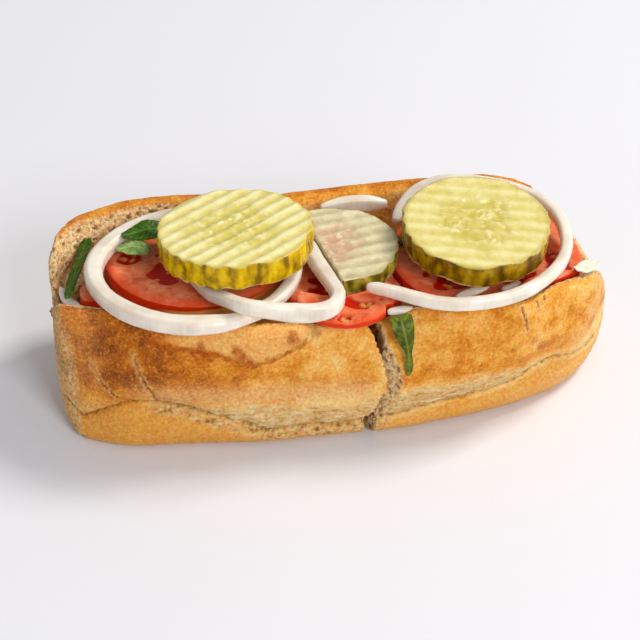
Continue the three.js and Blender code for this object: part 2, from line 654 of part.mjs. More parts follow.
const leaves = {
  leaf_left: [[-76, 18.4, 42.8, 2, 0.5], [-78, 11.4, 42.2, 2.6, 0.5], [-80.4, 3, 41.2, 2.5, 0.5],
    [-83.2, -8.4, 40.4, 1, 0.5]],
  leaf_back: [[-65.4, 10.8, 48, 1.2, 0.2], [-61.4, 12, 48.4, 2.8, 0.3], [-57, 12.6, 48.9, 3.9, 0.3],
    [-52.8, 13.4, 48, 3.4, 0.2], [-49.4, 14, 46.8, 1.8, 0.1]],
  leaf_middle: [[-67.4, 6.8, 46, 1.2, 0], [-64.4, 7.4, 46.3, 2.9, 0.15], [-60.8, 7, 46.4, 3.4, 0.15],
    [-57.4, 5.8, 45.5, 2.2, 0.1]],
  leaf_hanging: [[12.6, -34.6, 44.2, 3.6, 0], [13.2, -38.2, 41, 3.3, 0], [14.2, -38.7, 36.4, 2.1, 0],
    [14.8, -38.9, 32.6, 0.9, 0], [15.2, -39, 28.6, 1.3, 0], [15.2, -38.9, 24.6, 0.6, 0]],
  leaf_behind: [[18.6, 6.4, 43.5, 1, 0], [20.8, 4, 43.6, 1.8, 0], [22.6, 0.4, 43.5, 1.2, 0]],
  lettuce_right: [[69.6, -18.4, 43.6, 1.4, 0], [72.4, -17.6, 43.6, 2.6, 0], [75.4, -15.8, 43.4, 2.4, 0],
    [77.8, -13.6, 43, 1, 0]],
};
for (const [name, spine] of Object.entries(leaves)) {
  const across = name === 'leaf_hanging' ? [1, 0, 0] : undefined;
  add(name, leafBlade({ spine, across }), LEAF, 0.5);
}

// The row's origin is the middle of the sandwich's box, on the surface it rests on.
const box = new THREE.Box3().setFromObject(group, true);
const centre = box.getCenter(new THREE.Vector3());
group.position.set(-centre.x, -centre.y, -box.min.z);

export default group;
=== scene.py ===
import math
import random
from functools import partial
from types import SimpleNamespace

import bpy
import numpy as np
from mathutils import Matrix, Vector, noise


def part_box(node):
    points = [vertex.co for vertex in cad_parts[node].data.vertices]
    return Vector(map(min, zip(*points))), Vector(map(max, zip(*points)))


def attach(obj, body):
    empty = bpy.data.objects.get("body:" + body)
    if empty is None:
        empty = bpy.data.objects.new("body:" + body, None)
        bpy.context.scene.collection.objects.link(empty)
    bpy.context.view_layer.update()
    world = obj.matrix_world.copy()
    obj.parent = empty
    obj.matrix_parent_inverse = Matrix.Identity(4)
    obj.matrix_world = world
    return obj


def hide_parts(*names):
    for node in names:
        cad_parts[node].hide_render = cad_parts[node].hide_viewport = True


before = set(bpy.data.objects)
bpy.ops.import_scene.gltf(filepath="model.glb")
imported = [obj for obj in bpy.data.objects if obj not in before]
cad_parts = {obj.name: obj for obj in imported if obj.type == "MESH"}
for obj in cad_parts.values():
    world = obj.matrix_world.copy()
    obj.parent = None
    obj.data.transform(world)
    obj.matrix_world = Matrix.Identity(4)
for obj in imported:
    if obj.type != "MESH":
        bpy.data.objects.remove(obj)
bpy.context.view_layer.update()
print("frame loaded")

mm = 0.001
weldGap = 0.01    # mm, joins the loose triangles of a node's copy
seedStep = np.array([17.3, -9.1, 5.7])    # how far one seed moves a noise on
mixShare, mixA, mixB, mixed = 0, 6, 7, 2    # a Mix node's sockets for colours, which share their names

# places are in the roll's own millimetres, and the middle of the small tomato slice sets them in the frame
endSlice = {"x": -76.0, "y": -5.0}
low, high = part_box("tomato_left_end")
shift = np.array([(low.x + high.x) / 2 / mm - endSlice["x"], (low.y + high.y) / 2 / mm - endSlice["y"], 0.0])


def toFrame(x, y, z):
    return Vector(((x + shift[0]) * mm, (y + shift[1]) * mm, z * mm))


def hexLinear(code):    # the sRGB curve
    parts = [int(code[i:i + 2], 16) / 255 for i in (0, 2, 4)]
    return [p / 12.92 if p <= 0.04045 else ((p + 0.055) / 1.055) ** 2.4 for p in parts] + [1.0]


def smoothStep(value, start, end):
    t = np.clip((np.asarray(value, float) - start) / (end - start), 0, 1)
    return t * t * (3 - 2 * t)


def fadeOut(value, start, end):
    return 1 - smoothStep(value, start, end)


def activate(piece):
    bpy.ops.object.select_all(action="DESELECT")
    piece.select_set(True)
    bpy.context.view_layer.objects.active = piece


def copyOfNode(node, name):
    piece = bpy.data.objects.new(name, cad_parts[node].data.copy())
    piece.data.name = name
    piece.data.materials.clear()
    bpy.context.scene.collection.objects.link(piece)
    activate(piece)
    bpy.ops.object.mode_set(mode="EDIT")
    bpy.ops.mesh.select_all(action="SELECT")
    bpy.ops.mesh.remove_doubles(threshold=weldGap * mm)
    bpy.ops.object.mode_set(mode="OBJECT")
    return piece


def applyModifier(piece, kind, **settings):
    activate(piece)
    modifier = piece.modifiers.new(kind.title(), kind)
    for key, value in settings.items():
        setattr(modifier, key, value)
    bpy.ops.object.modifier_apply(modifier=modifier.name)


def refine(piece, voxel, softening):
    applyModifier(piece, "REMESH", mode="VOXEL", voxel_size=voxel * mm, use_smooth_shade=True)
    applyModifier(piece, "SMOOTH", factor=0.5, iterations=softening)


def readVertices(piece, what):
    flat = np.zeros(len(piece.data.vertices) * 3)
    piece.data.vertices.foreach_get(what, flat)
    return flat.reshape(-1, 3)


def readShape(piece):
    return readVertices(piece, "co") / mm - shift, readVertices(piece, "normal")


def raiseSurface(piece, points, normals, lift):
    moved = points + normals * lift[:, None]
    moved[:, 2] = np.maximum(moved[:, 2], 0)    # nothing sinks into the table
    piece.data.vertices.foreach_set("co", ((moved + shift) * mm).ravel())
    piece.data.update()


def paint(piece, **layers):
    for name, values in layers.items():
        layer = piece.data.attributes.new(name, "FLOAT", "POINT")
        layer.data.foreach_set("value", np.asarray(values, np.float32))


def grainOf(points, size, seed, octaves=2):
    where = points / np.asarray(size, float) + seed * seedStep
    return np.array([noise.fractal(p, 1.0, 2.0, octaves) for p in where.tolist()])


def lineGap(u, v, knots):
    # how far each point is from a line through the knots, and how far along the line it lies, from 0 to 1
    gap = np.full(len(u), np.inf)
    along = np.zeros(len(u))
    walked = 0.0
    for (ax, ay), (bx, by) in zip(knots[:-1], knots[1:]):
        span = math.hypot(bx - ax, by - ay)
        t = np.clip(((u - ax) * (bx - ax) + (v - ay) * (by - ay)) / span ** 2, 0, 1)
        near = np.hypot(u - ax - t * (bx - ax), v - ay - t * (by - ay))
        along = np.where(near < gap, walked + t * span, along)
        gap = np.minimum(gap, near)
        walked += span
    return gap, along / walked


def ovalReach(x, y, lean, length, width):
    # how far out in a leaning oval each point lies: 1 is its edge
    along = x * math.cos(lean) + y * math.sin(lean)
    across = y * math.cos(lean) - x * math.sin(lean)
    return np.hypot(along / length, across / width)


def smoothPath(knots, steps=24):
    # a curve through the knots, with its ends repeated so that it reaches them
    padded = [knots[0], *knots, knots[-1]]
    line = []
    for a, b, c, d in zip(padded, padded[1:], padded[2:], padded[3:]):
        a, b, c, d = (np.array(k, float) for k in (a, b, c, d))
        for t in np.linspace(0, 1, steps, endpoint=False):
            line.append(0.5 * (2 * b + (c - a) * t + (2 * a - 5 * b + 4 * c - d) * t ** 2
                               + (3 * b - a - 3 * c + d) * t ** 3))
    return np.array([*line, padded[-1]])


def fillInputs(tree, node, inputs):
    for key, value in inputs.items():
        if isinstance(value, bpy.types.Node):    # a node stands for its first output
            value = value.outputs[0]
        if isinstance(value, bpy.types.NodeSocket):
            tree.links.new(value, node.inputs[key])
        else:
            node.inputs[key].default_value = value


def addNode(tree, kind, inputs=None, stops=(), **settings):
    node = tree.nodes.new("ShaderNode" + kind)
    for key, value in settings.items():
        setattr(node, key, value)
    fillInputs(tree, node, inputs or {})
    if stops:    # a colour ramp's places and colours
        elements = node.color_ramp.elements
        elements[0].position, elements[1].position = stops[0][0], stops[-1][0]
        for position, _ in stops[1:-1]:
            elements.new(position)
        for element, (_, code) in zip(elements, stops):
            element.color = hexLinear(code)
    return node


def startMaterial(name):
    material = bpy.data.materials.new(name)
    material.use_nodes = True
    tree = material.node_tree
    return material, partial(addNode, tree), partial(fillInputs, tree, tree.nodes["Principled BSDF"])


def paintedLayers(add, *names):
    return {name: add("Attribute", attribute_name=name).outputs["Fac"] for name in names}


def layCoats(add, tone, *coats):
    # each coat is a share and the colour that covers the tone there
    for share, colour in coats:
        colour = hexLinear(colour) if isinstance(colour, str) else colour
        tone = add("Mix", {mixShare: share, mixA: tone, mixB: colour}, data_type="RGBA").outputs[mixed]
    return tone


def finishPiece(piece, material, slot, *nodes):
    piece.data.materials.append(material)
    activate(piece)
    bpy.ops.object.shade_smooth()
    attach(piece, "root")
    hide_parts(*nodes)
    print(piece.name, len(piece.data.polygons), "faces")


view = {    # places, lens and sensor in mm, and how far the camera leans, in degrees
    "from": (-71.71, -417.73, 337.02), "towards": (-1.75, 24.0, 0.0), "lens": 94.5, "sensor": 36.0,
    "leans": 0.8,
}


def makeCamera():
    bpy.ops.object.camera_add(location=toFrame(*view["from"]))
    camera = bpy.context.object
    look = toFrame(*view["towards"]) - camera.location
    turn = look.to_track_quat("-Z", "Y").to_matrix() @ Matrix.Rotation(math.radians(view["leans"]), 3, "Z")
    camera.rotation_euler = turn.to_euler()
    camera.data.lens = view["lens"]
    camera.data.sensor_width = view["sensor"]
    camera.data.clip_start = 10 * mm
    bpy.context.scene.camera = camera


studio = {
    "floor": "EAEAED", "floorMottle": "E7E7EA",
    "floorSize": 4.0,    # m
    "floorPatches": 30.0,    # soft patches across it
    "sky": "F0F2F7", "skyStrength": 0.45,
    "lamps": [    # name, place in mm, aim in mm, size in mm, watts, colour
        ("keyLamp", (1150, 420, 1500), (0, 0, 20), 520, 24.0, "FFFAF4"),
        ("frontLamp", (620, -1500, 1050), (0, 0, 25), 640, 17.5, "F8FAFF"),
    ],
}


def makeFloor():
    # flat emulsion paint: an even pale ground that soft shadows fall on, with hardly a patch in it
    bpy.ops.mesh.primitive_plane_add(size=studio["floorSize"], location=(0, 0, 0))
    floor = bpy.context.object
    floor.name = "paleFloor"
    material, add, surface = startMaterial("painted studio floor")
    patches = add("TexNoise", {"Scale": studio["floorPatches"]})
    tone = layCoats(add, hexLinear(studio["floor"]), (patches, studio["floorMottle"]))
    surface({"Base Color": tone, "Roughness": 0.55})
    floor.data.materials.append(material)


def makeLight():
    world = bpy.data.worlds.new("studio")
    world.use_nodes = True
    bpy.context.scene.world = world
    sky = world.node_tree.nodes["Background"]
    sky.inputs["Color"].default_value = hexLinear(studio["sky"])
    sky.inputs["Strength"].default_value = studio["skyStrength"]
    for name, place, aim, size, watts, colour in studio["lamps"]:
        lamp = bpy.data.lights.new(name, "AREA")
        lamp.energy = watts
        lamp.size = size * mm
        lamp.color = hexLinear(colour)[:3]
        holder = bpy.data.objects.new(name, lamp)
        holder.location = toFrame(*place)
        holder.rotation_euler = (toFrame(*aim) - toFrame(*place)).to_track_quat("-Z", "Y").to_euler()
        bpy.context.scene.collection.objects.link(holder)
    bpy.context.scene.view_settings.view_transform = "Standard"


roll = {
    "voxel": 0.6, "softening": 3,
    # the slanting cut: where it crosses the middle, its slope, and for each half which way its cut face looks
    # and how far from the cut that face may lie
    "cutMiddle": -7.1, "cutSlope": 0.373, "cutEnds": {"left": (1, 5), "right": (-1, 9)},
    # the oven split's height and the top of the pale torn band above it, by place along the roll
    "split": [(-88, 10.5), (-86, 12), (-81.3, 9.4), (-75, 13), (-67.4, 16.6), (-60.8, 17.2), (-52, 15.8),
              (-41.4, 11.4), (-34, 9), (-27, 5.8), (-16, 6.2), (0, 6), (14, 7.5), (25, 9.5), (38, 10.7),
              (50, 12.8), (56, 16), (63, 16.6), (71, 13), (80, 11.6), (86.2, 13)],
    "paleTop": [(-88, 14), (-70, 18), (-60, 20.5), (-46, 18.5), (-32, 18.5), (-17, 17), (-5, 16), (6, 17),
                (13, 19.5), (25, 20), (36, 21), (46, 22), (54, 20), (64, 18), (86, 14)],
    # a soft fold where the side of the roll turns under, with painted shade along it
    "fold": [(-78, 24), (-72, 25), (-61, 26.5), (-46, 27.2), (-32, 27), (-17, 25.8), (-2, 23.4), (8, 23)],
    # how deeply it is baked along its length, partly painted shade that darkens the left end
    "bake": [(-88, 0.72), (-74, 0.84), (-60, 0.8), (-44, 0.62), (-28, 0.42), (-6, 0.26), (10, 0.32),
             (30, 0.46), (60, 0.38), (86, 0.32)],
    # each crack's line of places along and heights, its half-width, depth, and where along its line it opens
    "cracks": [
        {"line": [(-65.2, 33.5), (-64.6, 31), (-63.6, 27.2), (-62.6, 25), (-61.2, 22.6), (-60.2, 19.5),
                  (-59.4, 17.6)], "half": 0.24, "deep": 0.7, "opens": 0.3},
        {"line": [(-77.6, 28.6), (-76.4, 25), (-75, 22), (-72.8, 19.8), (-70.4, 17.8)],
         "half": 0.22, "deep": 0.5, "opens": 0.35},
        {"line": [(49.4, 42.2), (50.4, 39.2), (51.2, 36.6), (51.8, 34.2)],
         "half": 0.22, "deep": 0.6, "opens": -0.3},
        {"line": [(54.7, 42.4), (55.4, 40.6)], "half": 0.2, "deep": 0.4, "opens": -0.3},
        {"line": [(57.6, 42.4), (57.9, 41.2)], "half": 0.2, "deep": 0.35, "opens": -0.3},
        {"line": [(34, 41), (33, 36.5), (30.4, 32.6), (29.6, 28)],
         "half": 0.24, "deep": 0.6, "opens": 0.1, "behind": True},
        {"line": [(-52, 36), (-49.4, 31.6), (-48.6, 27.4)],
         "half": 0.22, "deep": 0.5, "opens": 0.2, "behind": True},
        {"line": [(62, 14.4), (50, 12.2), (36, 12.8), (24, 10.6), (9, 11.2)],
         "half": 0.3, "deep": 0.7, "opens": 0.05, "behind": True},
    ],
    # wet baked-on drips along the edge of a thin blister under the left onion ring
    "blister": [(-60, 38.2), (-57.2, 36.8), (-53, 36.3), (-48.7, 35.6), (-43, 35), (-37.4, 33.2),
                (-31.4, 30.4), (-28, 31.4), (-24.2, 32.6), (-19, 35), (-14, 38)],
    "spots": [    # place along, height, radius, how dark, how proud
        (-59.4, 37.6, 1.5, 1.0, 0.1), (-57.2, 36.4, 1.4, 0.9, 0.1), (-54.6, 35.5, 1.3, 0.8, 0.1),
        (-50.6, 35.8, 1.0, 0.6, 0.3),
        (-45.5, 37, 1.4, 0.7, 0.6), (-44.2, 34.8, 1.2, 0.85, 0.6), (-42.8, 33.2, 1.0, 0.8, 0.5),
        (-47.6, 34.6, 0.9, 0.7, 0.5),
        (-35.4, 35.6, 1.9, 0.8, 0.15), (-34.0, 33.8, 2.0, 0.85, 0.1), (-32, 32, 1.7, 0.85, 0.1),
        (-26, 32.6, 1.2, 0.5, 0.1), (-18.8, 38.5, 2.1, 0.7, 0.6), (-12, 39.6, 1.8, 0.4, 0.3),
        (-0.5, 30.3, 0.6, 1.0, -0.1), (54.2, 29.8, 1.6, 0.45, 0.0), (57.6, 26.2, 1.9, 0.45, 0.0),
        (47.2, 28.7, 1.1, 0.35, 0.0), (-66, 28.2, 0.7, 0.7, -0.1), (38, 24.5, 0.5, 0.6, -0.1),
        (60, 33, 0.6, 0.5, -0.1), (-36, 26, 2.2, 0.3, 0.0),
    ],
    "spotsBehind": [
        (-66, 37, 1.8, 0.5, 0.4), (-38, 30, 2.6, 0.3, 0.3), (-30, 39, 1.4, 0.6, 0.4), (14, 35, 3, 0.25, 0.4),
        (44, 30, 2.2, 0.35, 0.3), (56, 38, 1.4, 0.5, 0.4), (22, 22, 1.0, 0.5, -0.1),
        (-58, 20, 0.8, 0.5, -0.1),
    ],
    # painted highlights near the rim, paler and glossier patches: place along, height, half-width,
    # half-height
    "paintedHighlightPatches": [(16.5, 41.5, 3.0, 1.4), (27.6, 41.6, 3.4, 1.2), (36.4, 39.6, 2.2, 1.2), (52, 40.4, 4.5, 1.6)],
    # cells of two sizes and how open they are, and a pore's reach across its cell, up to a soft edge
    "pores": {"cells": ((1.7, 1.0), (0.85, 0.65)), "narrowest": 0.2, "wider": 0.3, "edge": 0.2, "draw": 7.7},
    # the relief in mm
    "poreDeep": 0.95, "bubbleDeep": 0.45, "shredDeep": 0.8, "splitDeep": 0.8, "splitHalf": 0.36,
    "waveHigh": 0.4, "wrinkleHigh": 0.16, "crumbHigh": 0.28, "foldHigh": 0.5, "blisterHigh": 0.45,
    "lipHigh": 0.15,
    # places that bound a mark, in mm
    "endLipFrom": 70, "backFrom": 20, "noseBefore": -82, "foldBefore": 8, "hollowFloor": 16, "underRim": 45.5,
    "trough": {"half": 20, "bottom": 10, "top": 38},
    "fades": {    # from where to where one mark gives way to the next: slopes from 0 to 1, or mm
        "facing": (0.1, 0.4), "lip": (0.0, 0.3), "endLip": (-0.5, -0.2), "backLip": (0.5, 0.72),
        "cut": (0.45, 0.75), "nose": (0.3, 0.7), "noseAcross": (-10, 4), "noseUp": (12, 24),
        "smeared": (-50, -38), "underRim": (0, 1.2), "tornFrom": (-64, -52), "bubblyFrom": (-64, -58),
        "bubblyTo": (5, 14), "paintedSheenFrom": (-58, -50), "blisterEdge": (0.2, 1.0), "blisterEnds": (0, 0.06),
        "overBlister": (0.2, 1.6), "spot": (0.4, 1.2), "paintedHighlightPatches": (0.5, 1.2), "table": (0.2, 1.6),
        "toBack": (-12, 12), "paleFoot": (15, 25), "brownRim": (38, 46), "smearedRim": (0.1, 0.5),
        "dustyEnd": (-80, -69), "flouryFrom": (-74, -56), "flouryTo": (0, 8),
    },
    "flouryBand": (20.5, 3.6),    # its height and half-width
    "crustTones": ((0.0, "FCD080"), (0.28, "F6B04A"), (0.5, "E69426"), (0.75, "CC7206"), (1.0, "9C4C00")),
    "fibreTones": ((0.3, "BE803A"), (0.46, "EEBE74"), (0.66, "FBE2B0")),
    "crumbTones": ("D8A463", "F8DAA4"),
    # the pore and crack coats are painted shade in hollows, the wet coat is partly a painted sheen, the flour
    # specks are partly painted glints
    "coats": {"flour": "F3C988", "dusty": "EAB072", "base": "EAA446", "wet": "F9BC6A", "pore": "9A6024",
              "amber": "B45200", "crack": "6A380E"},
}


def rollMaterial():
    # a wheat loaf: thin egg-washed crust, satin where it took steam, over a matt open crumb
    material, add, surface = startMaterial("baked wheat bread")
    place = add("TexCoord").outputs["Object"]
    layer = paintedLayers(add, "crumb", "torn", "bake", "dusty", "crack", "amber", "pore", "base", "wet")
    broad = add("TexNoise", {"Vector": place, "Scale": 1 / (7 * mm), "Detail": 6.0, "Roughness": 0.65})
    fine = add("TexNoise", {"Vector": place, "Scale": 1 / (0.9 * mm), "Detail": 6.0, "Roughness": 0.75})
    stretched = add("Mapping", {"Vector": place, "Scale": (1.0, 3.0, 5.0)})
    fibre = add("TexNoise", {"Vector": stretched, "Scale": 1 / (4.5 * mm), "Detail": 6.0, "Roughness": 0.7})
    patchy = add("MapRange", {"Value": broad, "From Min": 0.3, "From Max": 0.7,
                              "To Min": -0.3, "To Max": 0.3})
    # the crust's tone follows how baked it is, which partly holds painted shade
    baked = add("Math", {0: layer["bake"], 1: patchy}, operation="ADD")
    golden = add("ValToRGB", {"Fac": baked}, stops=roll["crustTones"])
    shreds = add("ValToRGB", {"Fac": fibre}, stops=roll["fibreTones"])
    speckled = add("MapRange", {"Value": fine, "From Min": 0.35, "From Max": 0.65})
    soft = layCoats(add, hexLinear(roll["crumbTones"][0]), (speckled, roll["crumbTones"][1]))
    # light specks, partly flour and partly painted glints
    grains = add("MapRange", {"Value": fine, "From Min": 0.54, "From Max": 0.7})
    flour = add("Math", {0: grains, 1: 0.26}, operation="MULTIPLY")
    coats = roll["coats"]
    tone = layCoats(add, golden, (flour, coats["flour"]), (layer["dusty"], coats["dusty"]),
                    (layer["base"], coats["base"]), (layer["wet"], coats["wet"]), (layer["torn"], shreds),
                    (layer["crumb"], soft), (layer["pore"], coats["pore"]), (layer["amber"], coats["amber"]),
                    (layer["crack"], coats["crack"]))
    # flour dust and tiny blisters, a little lighter and darker than what they lie on
    dust = add("MapRange", {"Value": fine, "From Min": 0.32, "From Max": 0.68,
                            "To Min": 0.16, "To Max": 0.84})
    dusted = add("Mix", {mixShare: 0.76, mixA: tone, mixB: dust}, data_type="RGBA", blend_type="OVERLAY")
    # the crust is satin, its drips wet, its crumb and torn bands matt
    matt = add("Math", {0: layer["crumb"], 1: layer["torn"]}, operation="MAXIMUM")
    shiny = add("Math", {0: layer["amber"], 1: layer["wet"]}, operation="MAXIMUM")
    gloss = add("MapRange", {"Value": broad, "From Min": 0.35, "From Max": 0.65,
                             "To Min": 0.26, "To Max": 0.46})
    for share, roughness in ((matt, 0.85), (layer["dusty"], 0.72), (shiny, 0.16)):
        gloss = add("Mix", {0: share, 2: gloss, 3: roughness})
    # fine wrinkles all over, and coarser strands where the crumb is torn
    wrinkle = add("TexNoise", {"Vector": place, "Scale": 1 / (0.8 * mm), "Detail": 6.0, "Roughness": 0.7})
    strand = add("Math", {0: fibre, 1: layer["torn"]}, operation="MULTIPLY")
    strands = add("Math", {0: strand, 1: 2.0}, operation="MULTIPLY")
    height = add("Math", {0: wrinkle, 1: strands}, operation="ADD")
    surface({"Base Color": dusted.outputs[mixed], "Roughness": gloss, "IOR": 1.25,
             "Subsurface Weight": 0.12, "Subsurface Radius": (1.0, 0.55, 0.25), "Subsurface Scale": 1.0 * mm,
             "Normal": add("Bump", {"Height": height, "Distance": 0.6 * mm, "Strength": 0.85})})
    return material


def alongRoll(x, name):
    return np.interp(x, *zip(*roll[name]))


def surveyRoll(piece):
    points, normals = readShape(piece)
    x, y, z = points.T
    facing = roll["fades"]["facing"]
    return SimpleNamespace(
        points=points, normals=normals, x=x, y=y, z=z,
        toMiddle=np.where(y < 0, normals[:, 1], -normals[:, 1]),
        front=smoothStep(-normals[:, 1], *facing) * (y < 0),
        behind=smoothStep(normals[:, 1], *facing) * (y > roll["backFrom"]),
        ragged=grainOf(points, 1.7, 1), fibres=grainOf(points, (7, 2.5, 0.8), 2, 3),
        split=alongRoll(x, "split"), paleTop=alongRoll(x, "paleTop"), fold=alongRoll(x, "fold"))


def bareCrumb(wall, end):
    # where the knife and the tearing laid the crumb bare
    x, y, z, ragged, fades = wall.x, wall.y, wall.z, wall.ragged, roll["fades"]
    level = wall.normals[:, 2]
    frontLip = np.where(x > roll["endLipFrom"], smoothStep(wall.toMiddle, *fades["endLip"]),
                        smoothStep(wall.toMiddle, *fades["lip"]))
    # the crust's wash ran down over part of the inner face
    wall.smeared = smoothStep(x, *fades["smeared"]) * (y > 0)
    sharp = 0.4 * (1 - wall.smeared)    # elsewhere the crumb starts close under the rim
    backLip = smoothStep(wall.toMiddle + 0.12 * ragged + sharp, *fades["backLip"])
    backLip *= smoothStep(roll["underRim"] + 3 * sharp + 0.5 * ragged - z, *fades["underRim"])
    wall.inside = np.where(y < 0, frontLip, backLip) * (z > roll["hollowFloor"]) * (level > -0.4)
    size = roll["trough"]
    trough = (level > 0.3) * (np.abs(y) < size["half"]) * (z > size["bottom"]) * (z < size["top"])
    slope = roll["cutSlope"]
    fromCut = x - (roll["cutMiddle"] - slope * y)
    across = (wall.normals[:, 0] + slope * wall.normals[:, 1]) / math.hypot(1, slope)
    way, reach = roll["cutEnds"][end]
    cut = smoothStep(way * across, *fades["cut"]) * (way * fromCut > -reach)
    coarser = smoothStep(y + 4 * ragged, *fades["noseAcross"]) * smoothStep(z + 3 * ragged, *fades["noseUp"])
    wall.nose = smoothStep(-wall.normals[:, 0], *fades["nose"]) * (x < roll["noseBefore"])
    wall.nose *= 0.5 + 0.5 * coarser
    bare = (wall.inside * (1 - 0.75 * wall.smeared), trough, cut, 0.9 * wall.nose)
    wall.crumb = np.clip(np.maximum.reduce(bare), 0, 1)


def tearBand(wall):
    # the pale band that the oven split tore open, with fibres drawn along the roll, and bubbles under it
    x, z, front, split, fades = wall.x, wall.z, wall.front, wall.split, roll["fades"]
    torn = front * smoothStep(z, split - 0.8, split + 0.6)
    torn *= fadeOut(z + 1.8 * wall.fibres, wall.paleTop - 4.5, wall.paleTop + 1)
    torn *= 0.35 + 0.65 * smoothStep(x, *fades["tornFrom"])
    bubbly = front * smoothStep(z, split - 4.6, split - 2.6) * fadeOut(z, split - 0.6, split + 0.2)
    wall.bubbly = bubbly * smoothStep(x, *fades["bubblyFrom"]) * fadeOut(x, *fades["bubblyTo"])
    torn = np.maximum.reduce((torn, 0.6 * wall.bubbly, 0.6 * wall.nose)) * (1 - wall.crumb)
    wall.torn = np.clip(torn, 0, 1)
    wall.groove = front * np.exp(-((z - split + 0.3 * wall.ragged) / roll["splitHalf"]) ** 2)


def crackWall(wall):
    # cracks with pale lips, each a closed seam that opens lower down, with painted shade inside
    wall.crack, wall.sunk = np.zeros(len(wall.x)), np.zeros(len(wall.x))
    for flaw in roll["cracks"]:
        half, opens = flaw["half"], flaw["opens"]
        side = wall.behind if flaw.get("behind") else wall.front
        gap, along = lineGap(wall.x + 0.5 * wall.ragged, wall.z + 0.4 * wall.fibres, flaw["line"])
        near = side * fadeOut(gap, 0.4 * half, 1.6 * half)
        lip = side * np.exp(-((gap - 2.6 * half) / (1.6 * half)) ** 2)
        opened = smoothStep(along, opens, opens + 0.3)
        wall.crack = np.maximum(wall.crack, near * (0.15 + 0.65 * opened))
        wall.sunk = np.maximum(wall.sunk, near * flaw["deep"] * (0.4 + 0.6 * opened)) - roll["lipHigh"] * lip
        wall.torn = np.maximum(wall.torn, 0.45 * lip)


def dripWall(wall):
    # drips along the blister, spots, and wet patches that are glossy and also painted paler as a sheen
    x, z, front, ragged, fades = wall.x, wall.z, wall.front, wall.ragged, roll["fades"]
    gap, along = lineGap(x + 0.5 * ragged, z + 0.5 * wall.fibres, roll["blister"])
    edge = front * fadeOut(gap, *fades["blisterEdge"])
    edge *= smoothStep(np.minimum(along, 1 - along), *fades["blisterEnds"])
    wall.amber = edge * np.clip(0.7 + 0.8 * grainOf(wall.points, 2.5, 5), 0, 1)
    wall.proud = roll["blisterHigh"] * edge * (0.6 + 0.8 * grainOf(wall.points, 1.6, 7))
    aboveAll = 60    # mm, so that nothing is over the blister past its ends
    line = np.interp(x, *zip(*roll["blister"]), left=aboveAll, right=aboveAll)
    # above the blister the crust is glossier and painted paler, a painted sheen
    wall.wet = 0.75 * front * smoothStep(z - line, *fades["overBlister"]) * smoothStep(x, *fades["paintedSheenFrom"])
    for side, spots in ((front, roll["spots"]), (wall.behind, roll["spotsBehind"])):
        for place, height, radius, dark, high in spots:
            reach = np.hypot(x - place, z - height) / radius + 0.3 * ragged
            spot = side * fadeOut(reach, *fades["spot"])
            wall.amber = np.maximum(wall.amber, spot * dark)
            wall.proud = wall.proud + spot * high
    wall.amber = np.clip(wall.amber, 0, 1)
    # a thin scorched line runs round each drip
    wall.scorched = np.clip(1 - np.abs(wall.amber - 0.3) / 0.22, 0, 1) * front
    # painted highlights: pale, glossy patches near the rim
    for place, height, wide, tall in roll["paintedHighlightPatches"]:
        reach = np.hypot((x - place) / wide, (z - height) / tall) + 0.4 * ragged
        wall.wet = np.maximum(wall.wet, 0.55 * front * fadeOut(reach, *fades["paintedHighlightPatches"]))


def poreWall(wall):
    # pores in the crumb: cells of the right size, some open and deep, some shut; the same mask paints shade
    # into them
    opened = np.maximum(wall.crumb, wall.bubbly)
    wall.pore = np.zeros(len(opened))
    pores = roll["pores"]
    for cells, share in pores["cells"]:
        for i in np.flatnonzero(opened > 0.05):
            distances, centres = noise.voronoi(wall.points[i] / cells)
            wide = pores["narrowest"] + pores["wider"] * noise.cell(centres[0] * pores["draw"])
            depth = min(1, max(0, (wide - distances[0]) / pores["edge"] + 0.5))
            wall.pore[i] = max(wall.pore[i], share * depth)
    wall.pore *= opened


def liftWall(wall):
    points, z, front, ragged, crumb = wall.points, wall.z, wall.front, wall.ragged, wall.crumb
    lift = roll["waveHigh"] * grainOf(points, 16, 3)
    lift += roll["wrinkleHigh"] * grainOf(points, 4.5, 4) * (1 - crumb)
    lift += (roll["crumbHigh"] * ragged - roll["poreDeep"] * wall.pore) * crumb
    lift -= roll["bubbleDeep"] * wall.pore * wall.bubbly
    lift += roll["shredDeep"] * wall.torn * (wall.fibres + 0.3 * ragged)
    folded = smoothStep(z, wall.fold - 1.5, wall.fold + 1.5) - 0.5
    lift += roll["foldHigh"] * front * folded * (wall.x < roll["foldBefore"]) - wall.sunk + wall.proud
    lift -= roll["splitDeep"] * wall.groove
    return lift * smoothStep(z, *roll["fades"]["table"])


